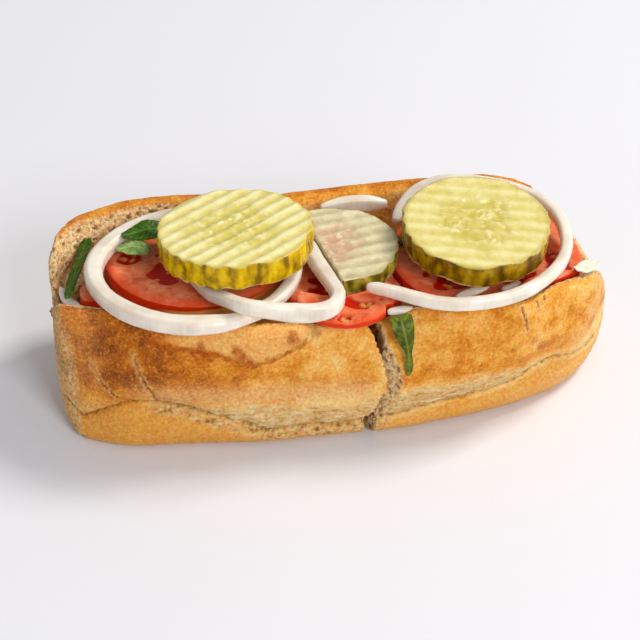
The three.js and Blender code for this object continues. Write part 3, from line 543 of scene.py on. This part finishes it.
# the crust's colour layers: how baked it is, with painted shade at the left end, along the fold, in the
# cracks and in the split's groove
def bakeWall(wall):
    x, y, z, front, ragged, fades = wall.x, wall.y, wall.z, wall.front, wall.ragged, roll["fades"]
    toBack = smoothStep(y + 3 * ragged, *fades["toBack"])
    # baked tone from the table along the roll, partly painted shade darkening the left end
    bake = alongRoll(x, "bake") * (1 - toBack) + 0.44 * toBack - 0.32 * fadeOut(z, *fades["paleFoot"])
    # painted shade along the fold, a darker band where the side turns under
    bake += 0.16 * front * np.exp(-((z - wall.fold + 0.5) / 3.0) ** 2)
    bake += 0.1 * grainOf(wall.points, (12, 8, 6), 6)
    unsmeared = 1 - wall.smeared * smoothStep(wall.toMiddle, *fades["smearedRim"])
    bake += 0.14 * (y > 0) * smoothStep(z, *fades["brownRim"]) * unsmeared - 0.2 * wall.inside * wall.smeared
    height, half = roll["flouryBand"]
    band = 0.7 * np.exp(-((z - height) / half) ** 2) * (1 - wall.torn)
    band *= smoothStep(x, *fades["flouryFrom"]) * fadeOut(x, *fades["flouryTo"])
    dusty = np.maximum(0.15 * fadeOut(x + 3 * ragged, *fades["dustyEnd"]), band) * front
    base = 0.85 * fadeOut(z, wall.split - 2.5, wall.split - 0.5) * (1 - toBack)
    # painted shade in the cracks and along the split's groove, together with the thin scorched line round the
    # drips
    crack = np.maximum.reduce((wall.crack, 0.2 * wall.scorched, (0.55 + 0.4 * ragged) * wall.groove))
    return {"bake": np.clip(bake, 0, 1), "dusty": np.clip(dusty, 0, 1), "crack": np.clip(crack, 0, 1),
            "base": base}


def dressRoll(node, end, material):
    piece = copyOfNode(node, "roll_" + end)
    refine(piece, roll["voxel"], roll["softening"])
    wall = surveyRoll(piece)
    bareCrumb(wall, end)
    tearBand(wall)
    crackWall(wall)
    dripWall(wall)
    poreWall(wall)
    raiseSurface(piece, wall.points, wall.normals, liftWall(wall))
    paint(piece, crumb=wall.crumb, torn=wall.torn, amber=wall.amber, wet=wall.wet, pore=wall.pore * 0.85,
          **bakeWall(wall))
    finishPiece(piece, material, "bread", node)


filling = {
    "voxel": 1.0, "softening": 3, "lumps": (5, 8, 3), "lumpHigh": 0.35, "shrink": 0.15,
    "tones": ((0.3, "A9662A"), (0.5, "D48F42"), (0.7, "E9BC78")),
}


def fillingMaterial():
    # a soft cooked filling: mottled from tan to brown, with a dull wet sheen
    material, add, surface = startMaterial("cooked filling")
    place = add("TexCoord").outputs["Object"]
    patch = add("TexNoise", {"Vector": place, "Scale": 1 / (5 * mm), "Detail": 5.0, "Roughness": 0.6})
    tone = add("ValToRGB", {"Fac": patch}, stops=filling["tones"])
    surface({"Base Color": tone, "Roughness": 0.35, "Subsurface Weight": 0.15, "Subsurface Scale": 1.5 * mm,
             "Normal": add("Bump", {"Height": patch, "Distance": 0.5 * mm, "Strength": 0.6})})
    return material


def dressFilling(node, material):
    piece = copyOfNode(node, "cooked_" + node)
    refine(piece, filling["voxel"], filling["softening"])
    points, normals = readShape(piece)
    lift = filling["lumpHigh"] * grainOf(points, *filling["lumps"]) - filling["shrink"]
    raiseSurface(piece, points, normals, lift)
    finishPiece(piece, material, "filling", node)


tomato = {
    "voxel": 0.45, "softening": 2,
    # each slice's middle, its seed, and its pockets: their place from the middle and half-width each way
    "slices": {
        "tomato_left": {"middle": (-42.6, 9.6), "seed": 11, "pockets": [
            (-20.5, -1.2, 5, 5), (-12, -10, 6, 8), (4, -6, 9, 8), (15, -13, 7, 6)]},
        "tomato_left_end": {"middle": (-76.0, -5.0), "seed": 12, "pockets": []},
        "tomato_centre": {"middle": (0.0, -6.6), "seed": 13, "pockets": [
            (-6, -4, 5, 9), (4, 6, 6, 5), (-9, -10, 5, 6)]},
        "tomato_right": {"middle": (45.2, -3.8), "seed": 14, "pockets": [
            (-14, -12, 8, 7), (6, -14, 9, 6), (19, -6, 7, 8), (-16, 8, 7, 8)]},
        "tomato_front": {"middle": (-1.6, -21.5), "seed": 15, "pockets": [
            (4, -5.5, 8, 3), (-1.5, -12, 3, 3)]},
    },
    "seedsEach": 4, "seedHalf": (1.4, 0.85), "seedReach": 0.62, "rays": 19, "warpSize": 6, "rayWarpSize": 3,
    "fleshHigh": 0.18, "jellyDeep": 0.55, "seedHigh": 0.35, "shrink": 0.05,
    "underside": (39.6, 40.2),    # the pale lower edge of the slice that lies on the left half
    "fades": {    # from where to where one mark gives way to the next
        "top": (0.3, 0.7), "jelly": (0.6, 0.78), "skin": (0.25, 0.6), "seed": (0.5, 1.1),
        "seedShown": (0.4, 0.9), "vein": (0.5, 1), "veinFrom": (6, 16), "outer": (0.86, 0.98),
        "underFrom": (-16, -8),
    },
    "tones": ((0.32, "CC4E28"), (0.5, "EA784A"), (0.7, "F6A47C")),
    "coats": {"vein": "F0AA86", "outer": "EA5222", "jelly": "C01C02", "skin": "DE3608", "under": "FFB45A",
              "seed": "E8AE60"},
}


def tomatoMaterial():
    # fresh cut tomato: watery flesh, glassy seed jelly and a thin tight skin
    material, add, surface = startMaterial("cut fresh tomato")
    place = add("TexCoord").outputs["Object"]
    layer = paintedLayers(add, *tomato["coats"])
    cloud = add("TexNoise", {"Vector": place, "Scale": 1 / (5 * mm), "Detail": 6.0, "Roughness": 0.65})
    flesh = add("ValToRGB", {"Fac": cloud}, stops=tomato["tones"])
    pulp = add("TexNoise", {"Vector": place, "Scale": 1 / (1.1 * mm), "Detail": 4.0})
    tone = layCoats(add, flesh, *((layer[name], code) for name, code in tomato["coats"].items()))
    gloss = add("MapRange", {"Value": layer["jelly"], "To Min": 0.3, "To Max": 0.16})
    surface({"Base Color": tone, "Roughness": gloss, "IOR": 1.3, "Specular IOR Level": 0.3,
             "Subsurface Weight": 0.25, "Subsurface Radius": (1.0, 0.25, 0.12), "Subsurface Scale": 2.0 * mm,
             "Normal": add("Bump", {"Height": pulp, "Distance": 0.3 * mm, "Strength": 0.5})})
    return material


def dressTomato(node, look, material):
    piece = copyOfNode(node, "fresh_" + node)
    refine(piece, tomato["voxel"], tomato["softening"])
    points, normals = readShape(piece)
    fades = tomato["fades"]
    x, y = (points[:, :2] - look["middle"]).T
    top = smoothStep(normals[:, 2], *fades["top"])
    warp = grainOf(points, tomato["warpSize"], look["seed"])

    # seed pockets full of jelly, with a few seeds lying in each
    jelly, seed = np.zeros(len(x)), np.zeros(len(x))
    draw = random.Random(look["seed"])
    for px, py, rx, ry in look["pockets"]:
        out = np.hypot((x - px) / rx, (y - py) / ry) + 0.8 * warp
        jelly = np.maximum(jelly, fadeOut(out, *fades["jelly"]))
        for _ in range(tomato["seedsEach"]):
            turn = draw.uniform(0, 2 * math.pi)
            reach = tomato["seedReach"] * math.sqrt(draw.random())
            sx, sy = x - px - reach * rx * math.cos(turn), y - py - reach * ry * math.sin(turn)
            away = ovalReach(sx, sy, draw.uniform(0, math.pi), *tomato["seedHalf"])
            seed = np.maximum(seed, fadeOut(away, *fades["seed"]))
    jelly *= top
    seed *= top * smoothStep(jelly, *fades["seedShown"])

    # pale veins run out from the core, and the flesh reddens under the skin
    out = np.hypot(x, y)
    rays = np.sin(tomato["rays"] * np.arctan2(y, x) + 5 * warp
                  + 2 * grainOf(points, tomato["rayWarpSize"], look["seed"] + 3))
    vein = 0.3 * top * (1 - jelly) * smoothStep(rays * smoothStep(out, *fades["veinFrom"]), *fades["vein"])
    outer = 0.7 * top * (1 - jelly) * smoothStep(out / max(out.max(), 1), *fades["outer"])
    skin = fadeOut(np.abs(normals[:, 2]), *fades["skin"])
    under = np.zeros(len(x))
    if node == "tomato_left":
        under = skin * fadeOut(points[:, 2] - 0.05 * x, *tomato["underside"])
        under *= smoothStep(x, *fades["underFrom"])
    lift = tomato["fleshHigh"] * warp * top - tomato["jellyDeep"] * jelly + tomato["seedHigh"] * seed
    raiseSurface(piece, points, normals, lift - tomato["shrink"])
    paint(piece, jelly=jelly, skin=skin, seed=seed * 0.75, vein=vein, outer=outer, under=under)
    finishPiece(piece, material, "tomato", node)


onion = {
    "voxel": 0.4, "softening": 3,
    "pieces": {    # the way that each band takes: a closed ring's middle and half-widths, or a path
        "onion_ring_left": {"round": (-44.6, -5.0, 29.8, 28.1)},
        "onion_ring_centre": {"path": [
            (-47.5, -3, 42.6), (-44, -11, 42.6), (-41, -19, 43.6), (-37.2, -26.6, 46.3), (-32, -33.2, 47.9),
            (-25.4, -34.7, 46.8), (-19.6, -34.4, 44.9), (-12.6, -34.9, 44.6), (-7.4, -33.4, 44.9),
            (-4.6, -27.6, 44.9), (-5.8, -16.8, 43.6), (-7.9, -6, 42.8), (-8.9, 0.9, 42.6),
            (-11.2, 8.6, 42.6)]},
        "onion_ring_right": {"path": [
            (4.6, -22.9, 44.7), (8.6, -24.8, 44.7), (14.4, -28.4, 44.8), (22.2, -32.2, 44.1),
            (30, -34.3, 43.8), (41.8, -33.8, 43.8), (51, -30.6, 43.9), (59.2, -24.4, 43.8),
            (65.4, -17.2, 43.6), (69.2, -9.3, 44.2), (70, 0.4, 46.2), (67.2, 9.2, 47.4), (62, 16.6, 47.6),
            (53.6, 22.8, 47.6), (45, 26, 47.6), (36.4, 26.2, 47.5), (28.8, 23.2, 46.7), (23.6, 17.2, 45.6),
            (19.4, 10.2, 44.8)]},
        "onion_strip_back": {"path": [
            (-2.4, 22.4, 42.5), (4.6, 23.4, 42.5), (12, 23.4, 42.5), (19.2, 22.8, 42.5)]},
        "onion_strip_front": {"path": [(9.4, -31.5, 42.1), (13.4, -31.2, 42.2), (17.4, -30.6, 43.4)]},
        "onion_strip_under": {"path": [(30.6, -28.6, 43.1), (35.4, -26.4, 43.1), (41.6, -23.4, 43.1)]},
        "onion_chip_right": {"path": [(45, -26.2, 43.1), (48.6, -24.6, 43.1), (51.6, -22.6, 43.1)]},
        "onion_shred_left": {"path": [
            (-85, 2.6, 34.8), (-84, -2.4, 34.6), (-81.4, -7, 35), (-79.4, -10.2, 36.6)]},
    },
    "streakSize": 2.4, "waveSize": 11, "streakHigh": 0.08, "waveHigh": 0.25, "shrink": 0.06,
    # how level a face is where the side gives way to the cut edge, and that edge's middle and half-width
    "sideSlope": (0.35, 0.75), "edgeSlope": (0.72, 0.14),
    "tones": ("E0D3C0", "F3EBDC"), "streakTone": "FBF8F0", "edgeTone": "F0D8C2",
}


def onionMaterial():
    # raw white onion: cloudy flesh in wet layers, with fine fibres up each cut band
    material, add, surface = startMaterial("raw white onion")
    place = add("TexCoord").outputs["Object"]
    layer = paintedLayers(add, "walk", "side", "edge")
    strand = add("CombineXYZ", {0: layer["walk"]})
    lines = add("TexNoise", {"Vector": strand, "Scale": 0.8, "Detail": 3.0, "Roughness": 0.55})
    cloud = add("TexNoise", {"Vector": place, "Scale": 1 / (7 * mm), "Detail": 4.0})
    cloudy = add("MapRange", {"Value": cloud, "From Min": 0.35, "From Max": 0.65})
    streak = add("MapRange", {"Value": lines, "From Min": 0.42, "From Max": 0.68,
                              "To Min": 0.0, "To Max": 0.3})
    streaked = add("Math", {0: streak, 1: layer["side"]}, operation="MULTIPLY")
    dull, bright = onion["tones"]
    tone = layCoats(add, hexLinear(dull), (cloudy, bright), (streaked, onion["streakTone"]),
                    (layer["edge"], onion["edgeTone"]))
    surface({"Base Color": tone, "Roughness": 0.22, "IOR": 1.4,
             "Subsurface Weight": 0.6, "Subsurface Radius": (1.0, 0.92, 0.78), "Subsurface Scale": 3.0 * mm,
             "Normal": add("Bump", {"Height": lines, "Distance": 0.15 * mm, "Strength": 0.3})})
    return material


def walkAlong(points, look):
    # how far along its band each point lies, in mm
    if "round" in look:
        cx, cy, rx, ry = look["round"]
        return np.arctan2((points[:, 1] - cy) / ry, (points[:, 0] - cx) / rx) * (rx + ry) / 2
    line = smoothPath(look["path"])[:, :2]
    walked = np.concatenate([[0], np.cumsum(np.linalg.norm(np.diff(line, axis=0), axis=1))])
    skip = 4    # a coarser line is near enough to look along
    nearest = skip * np.argmin(np.linalg.norm(points[:, None, :2] - line[None, ::skip], axis=2), axis=1)
    ahead = line[np.minimum(nearest + skip, len(line) - 1)] - line[np.maximum(nearest - skip, 0)]
    ahead = ahead / np.maximum(np.linalg.norm(ahead, axis=1), 1e-6)[:, None]
    return walked[nearest] + ((points[:, :2] - line[nearest]) * ahead).sum(axis=1)


def dressOnion(node, look, material):
    piece = copyOfNode(node, "raw_" + node)
    refine(piece, onion["voxel"], onion["softening"])
    points, normals = readShape(piece)
    walk = walkAlong(points, look)
    level = normals[:, 2]
    side = fadeOut(np.abs(level), *onion["sideSlope"])
    middle, half = onion["edgeSlope"]
    flow = np.column_stack([walk, np.zeros(len(walk)), np.zeros(len(walk))])
    lift = onion["streakHigh"] * grainOf(flow, onion["streakSize"], 21, 3) * side
    lift += onion["waveHigh"] * grainOf(flow, onion["waveSize"], 22)
    raiseSurface(piece, points, normals, lift - onion["shrink"])
    paint(piece, walk=walk, side=side, edge=0.4 * np.exp(-((level - middle) / half) ** 2))
    finishPiece(piece, material, "onion", node)


pickle = {
    "voxel": 0.42, "softening": 2, "ridgePitch": 4.9, "ridgeMiddle": 0.55, "ridgeShare": 0.5,
    # each chip's middle, radius and ridge turn, its tilt and the way that it tilts, and its own finish
    # the crest and trough tones paint a highlight on the crinkle's crests and shade in its troughs
    "chips": {
        "pickle_left": {
            "middle": (-32, -2.9, 54.1), "radius": 23.6, "turn": -0.93, "tilt": 0.07, "toward": 2.18,
            "seed": 31, "seeds": 22, "flatter": 0.2, "wave": 0.75, "slot": "pickle",
            "name": "bread-and-butter pickle", "crest": "F2EAB0", "trough": "D9C86C", "heart": "D2C25C",
            "seedTone": "F7F0C6", "border": "C0A614", "skin": ("86680A", "D2A600", "F2CE14")},
        "pickle_centre": {
            "middle": (-2.4, -1.2, 45.1), "radius": 20.6, "turn": -1.48, "tilt": 0.05, "toward": 3.4,
            "seed": 32, "seeds": 14, "flatter": 0.25, "wave": 0.6, "slot": "pickle_pale",
            "name": "pale soaked pickle", "crest": "E8DFB6", "trough": "C2B488", "heart": "D2A88A",
            "seedTone": "F0E6C0", "border": "9A9040", "skin": ("544E10", "857A14", "B8AA44")},
        "pickle_right": {
            "middle": (40.9, -6, 52.5), "radius": 22.7, "turn": 1.33, "tilt": 0.105, "toward": -math.pi / 2,
            "seed": 33, "seeds": 40, "flatter": 0.34, "wave": 0.6, "slot": "pickle",
            "name": "dill pickle", "crest": "EEE3A0", "trough": "D8C76A", "heart": "CDBB54",
            "seedTone": "F6EBB4", "border": "A08608", "skin": ("664602", "946C04", "B8920C")},
    },
    "skinPlaces": (0.18, 0.5, 0.85),    # where along the mottling each tone of the skin lies
    "warpSize": 5, "heartSize": 2.2, "stripeWide": 2.8, "stripeTall": 7,
    "fleshHigh": 0.12, "heartDeep": 0.25, "seedHigh": 0.3, "ribHigh": 0.6, "skinShrink": 0.2, "shrink": 0.05,
    "fades": {    # from where to where one mark gives way to the next
        "top": (0.35, 0.6), "heart": (0.34, 0.62), "seed": (0.5, 1.1), "rim": (0.42, 0.66),
        "border": (0.9, 0.985),
    },
}


def pickleMaterial(look):
    # brined cucumber: waxy wet skin, watery pale flesh, clear jelly round the seeds
    material, add, surface = startMaterial(look["name"])
    place = add("TexCoord").outputs["Object"]
    layer = paintedLayers(add, "crest", "heart", "rim", "seed", "border", "stripe")
    cloud = add("TexNoise", {"Vector": place, "Scale": 1 / (4 * mm), "Detail": 6.0, "Roughness": 0.65})
    cloudy = add("MapRange", {"Value": cloud, "From Min": 0.3, "From Max": 0.7,
                              "To Min": -0.45, "To Max": 0.45})
    # painted light on the crinkle: crests painted paler as highlight, troughs painted darker as shade
    wavy = add("Math", {0: layer["crest"], 1: cloudy}, operation="ADD")
    flesh = add("Mix", {mixShare: wavy, mixA: hexLinear(look["trough"]), mixB: hexLinear(look["crest"])},
                data_type="RGBA", clamp_factor=True).outputs[mixed]
    patch = add("TexNoise", {"Vector": place, "Scale": 1 / (2.2 * mm), "Detail": 5.0, "Roughness": 0.6})
    patchy = add("MapRange", {"Value": patch, "From Min": 0.3, "From Max": 0.7,
                              "To Min": -0.2, "To Max": 0.2})
    mottled = add("Math", {0: layer["stripe"], 1: patchy}, operation="ADD")
    skin = add("ValToRGB", {"Fac": mottled}, stops=list(zip(pickle["skinPlaces"], look["skin"])))
    tone = layCoats(add, flesh, (layer["heart"], look["heart"]), (layer["seed"], look["seedTone"]),
                    (layer["border"], look["border"]), (layer["rim"], skin))
    pulp = add("TexNoise", {"Vector": place, "Scale": 1 / (1.0 * mm), "Detail": 4.0})
    surface({"Base Color": tone, "Roughness": 0.22, "IOR": 1.26,
             "Subsurface Weight": 0.3, "Subsurface Radius": (1.0, 0.9, 0.35), "Subsurface Scale": 1.6 * mm,
             "Normal": add("Bump", {"Height": pulp, "Distance": 0.2 * mm, "Strength": 0.5})})
    return material


def dressPickle(node, look):
    piece = copyOfNode(node, "brined_" + node)
    refine(piece, pickle["voxel"], pickle["softening"])
    points, normals = readShape(piece)
    fades, radius = pickle["fades"], look["radius"]

    # the chip's own frame, laid flat
    tiltAxis = Vector((-math.sin(look["toward"]), math.cos(look["toward"]), 0))
    flat = np.array(Matrix.Rotation(look["tilt"], 3, tiltAxis).inverted())
    x, y, z = ((points - look["middle"]) @ flat.T).T
    level = (normals @ flat.T)[:, 2]
    top = smoothStep(level, *fades["top"])
    out, angle = np.hypot(x, y) / radius, np.arctan2(y, x)
    warp = grainOf(points, pickle["warpSize"], look["seed"])
    across = x * math.cos(look["turn"]) + y * math.sin(look["turn"])
    ripple = np.cos(across / pickle["ridgePitch"] * 2 * math.pi)
    heart = fadeOut(out + 0.12 * warp + 0.05 * np.cos(3 * angle + look["seed"]), *fades["heart"])
    heart *= np.clip(0.85 + 0.9 * grainOf(points, pickle["heartSize"], look["seed"] + 9), 0.3, 1.3)

    # soft seeds, most of them lying outwards round the heart
    draw = random.Random(look["seed"])
    seed = np.zeros(len(x))
    for _ in range(look["seeds"]):
        turn = draw.uniform(0, 2 * math.pi)
        reach = radius * draw.uniform(0.12, 0.56)
        sx, sy = x - reach * math.cos(turn), y - reach * math.sin(turn)
        lay = turn + draw.gauss(0, 0.6)
        length, width = draw.uniform(0.9, 1.5), draw.uniform(0.5, 0.75)
        away = ovalReach(sx, sy, lay, length, width)
        seed = np.maximum(seed, draw.uniform(0.3, 0.75) * fadeOut(away, *fades["seed"]))
    seed *= top

    cutAway = (out < 0.9) * (np.abs(level) < 0.6)    # a side that was cut through the flesh has no skin
    rim = fadeOut(np.abs(level), *fades["rim"]) * (1 - cutAway)
    around = np.column_stack([angle * radius / pickle["stripeWide"], z / pickle["stripeTall"],
                              np.zeros(len(x))])
    stripe = 0.5 + 0.55 * grainOf(around, 1, look["seed"] + 2)
    ribs = pickle["ribHigh"] * grainOf(around, 1.4, look["seed"] + 5) - pickle["skinShrink"]
    lift = pickle["fleshHigh"] * warp - pickle["heartDeep"] * heart * top + pickle["seedHigh"] * seed
    lift += rim * ribs - look["flatter"] * ripple * top    # long brining softens the crinkle
    raiseSurface(piece, points, normals, lift - pickle["shrink"])
    # painted highlight on the ridge crests and painted shade in the troughs
    crest = pickle["ridgeMiddle"] + pickle["ridgeShare"] * ripple * look["wave"]
    paint(piece, crest=crest, heart=np.clip(0.75 * heart * top, 0, 1), rim=rim, seed=seed,
          border=0.6 * top * smoothStep(out, *fades["border"]), stripe=stripe)
    finishPiece(piece, pickleMaterial(look), look["slot"], node)


leaf = {
    "levels": 3, "curlSize": 1.5, "curlHigh": 0.1, "ribDeep": 0.1, "veinPitch": 5.0, "veinSlant": 0.55,
    "blades": {    # each one's tones, and its midrib's way along the blade
        "leaf_left": {"dark": "264404", "light": "46700A", "rib": "688A30", "midrib": [
            (-76, 18.4, 42.8), (-78, 11.4, 42.2), (-80.4, 3, 41.2), (-83.2, -8.4, 40.4)]},
        "leaf_back": {"dark": "223C04", "light": "4A7412", "rib": "6C9038", "midrib": [
            (-65.4, 10.8, 48), (-61.4, 12, 48.4), (-57, 12.6, 48.9), (-52.8, 13.4, 48), (-49.4, 14, 46.8)]},
        "leaf_middle": {"dark": "668838", "light": "A4BC70", "rib": "B4C684", "midrib": [
            (-67.4, 6.8, 46), (-64.4, 7.4, 46.3), (-60.8, 7, 46.4), (-57.4, 5.8, 45.5)]},
        "leaf_hanging": {"dark": "343E02", "light": "6C7612", "rib": "8C9438", "midrib": [
            (12.6, -34.6, 44.2), (13.2, -38.2, 41), (14.2, -38.7, 36.4), (14.8, -38.9, 32.6),
            (15.2, -39, 28.6), (15.2, -38.9, 24.6)]},
        "leaf_behind": {"dark": "2C3E1C", "light": "4E5C33", "rib": "6E7C4E", "midrib": [
            (18.6, 6.4, 43.5), (20.8, 4, 43.6), (22.6, 0.4, 43.5)]},
        "lettuce_right": {"dark": "E0E6C0", "light": "F4F2E4", "rib": "F6F4E8", "midrib": [
            (69.6, -18.4, 43.6), (72.4, -17.6, 43.6), (75.4, -15.8, 43.4), (77.8, -13.6, 43)]},
    },
    "fades": {"rib": (0.25, 0.55), "vein": (0.0, 0.22), "veinFrom": (0.3, 0.7), "crease": (0.5, 1.0)},
}


def leafMaterial(node, look):
    # a fresh leaf: satin cuticle, paler along its veins, with painted shade darkening its folds
    material, add, surface = startMaterial("fresh " + node.replace("_", " "))
    place = add("TexCoord").outputs["Object"]
    layer = paintedLayers(add, "rib", "crease")
    cloud = add("TexNoise", {"Vector": place, "Scale": 1 / (2.2 * mm), "Detail": 5.0})
    cloudy = add("MapRange", {"Value": cloud, "From Min": 0.35, "From Max": 0.65})
    tone = layCoats(add, hexLinear(look["dark"]), (cloudy, look["light"]), (layer["crease"], look["dark"]),
                    (layer["rib"], look["rib"]))
    cells = add("TexVoronoi", {"Vector": place, "Scale": 1 / (1.0 * mm)})
    surface({"Base Color": tone, "Roughness": 0.36, "IOR": 1.26, "Subsurface Weight": 0.1,
             "Subsurface Scale": 0.6 * mm,
             "Normal": add("Bump", {"Height": cells, "Distance": 0.2 * mm, "Strength": 0.5})})
    return material


def dressLeaf(node, look):
    piece = copyOfNode(node, "fresh_" + node)
    applyModifier(piece, "SUBSURF", levels=leaf["levels"], render_levels=leaf["levels"])
    points, normals = readShape(piece)
    fades = leaf["fades"]
    away = np.linalg.norm(points[:, None, :] - smoothPath(look["midrib"], 12)[None, :, :], axis=2)
    nearest, gap = away.argmin(axis=1), away.min(axis=1)
    # side veins sweep forward off the midrib
    veins = np.abs((nearest / leaf["veinPitch"] + gap * leaf["veinSlant"]) % 1 - 0.5) * 2
    rib = np.maximum(0.6 * fadeOut(gap, *fades["rib"]),
                     0.25 * fadeOut(veins, *fades["vein"]) * smoothStep(gap, *fades["veinFrom"]))
    lift = leaf["curlHigh"] * grainOf(points, leaf["curlSize"], 41) - leaf["ribDeep"] * rib
    raiseSurface(piece, points, normals, lift)
    # painted shade in the folds between the side veins
    paint(piece, rib=rib, crease=0.5 * smoothStep(veins, *fades["crease"]))
    finishPiece(piece, leafMaterial(node, look), "lettuce" if node == "lettuce_right" else "leaf", node)


makeCamera()
makeFloor()
makeLight()
print("studio ready")

bread = rollMaterial()
dressRoll("bread_left", "left", bread)
dressRoll("bread_right", "right", bread)
cooked = fillingMaterial()
for nodeName in ("filling_left", "filling_right"):
    dressFilling(nodeName, cooked)
print("roll and filling ready")

freshTomato = tomatoMaterial()
for nodeName, sliceLook in tomato["slices"].items():
    dressTomato(nodeName, sliceLook, freshTomato)
print("tomato ready")

rawOnion = onionMaterial()
for nodeName, onionLook in onion["pieces"].items():
    dressOnion(nodeName, onionLook, rawOnion)
print("onion ready")

for nodeName, chipLook in pickle["chips"].items():
    dressPickle(nodeName, chipLook)
print("pickles ready")

for nodeName, leafLook in leaf["blades"].items():
    dressLeaf(nodeName, leafLook)
print("leaves ready")
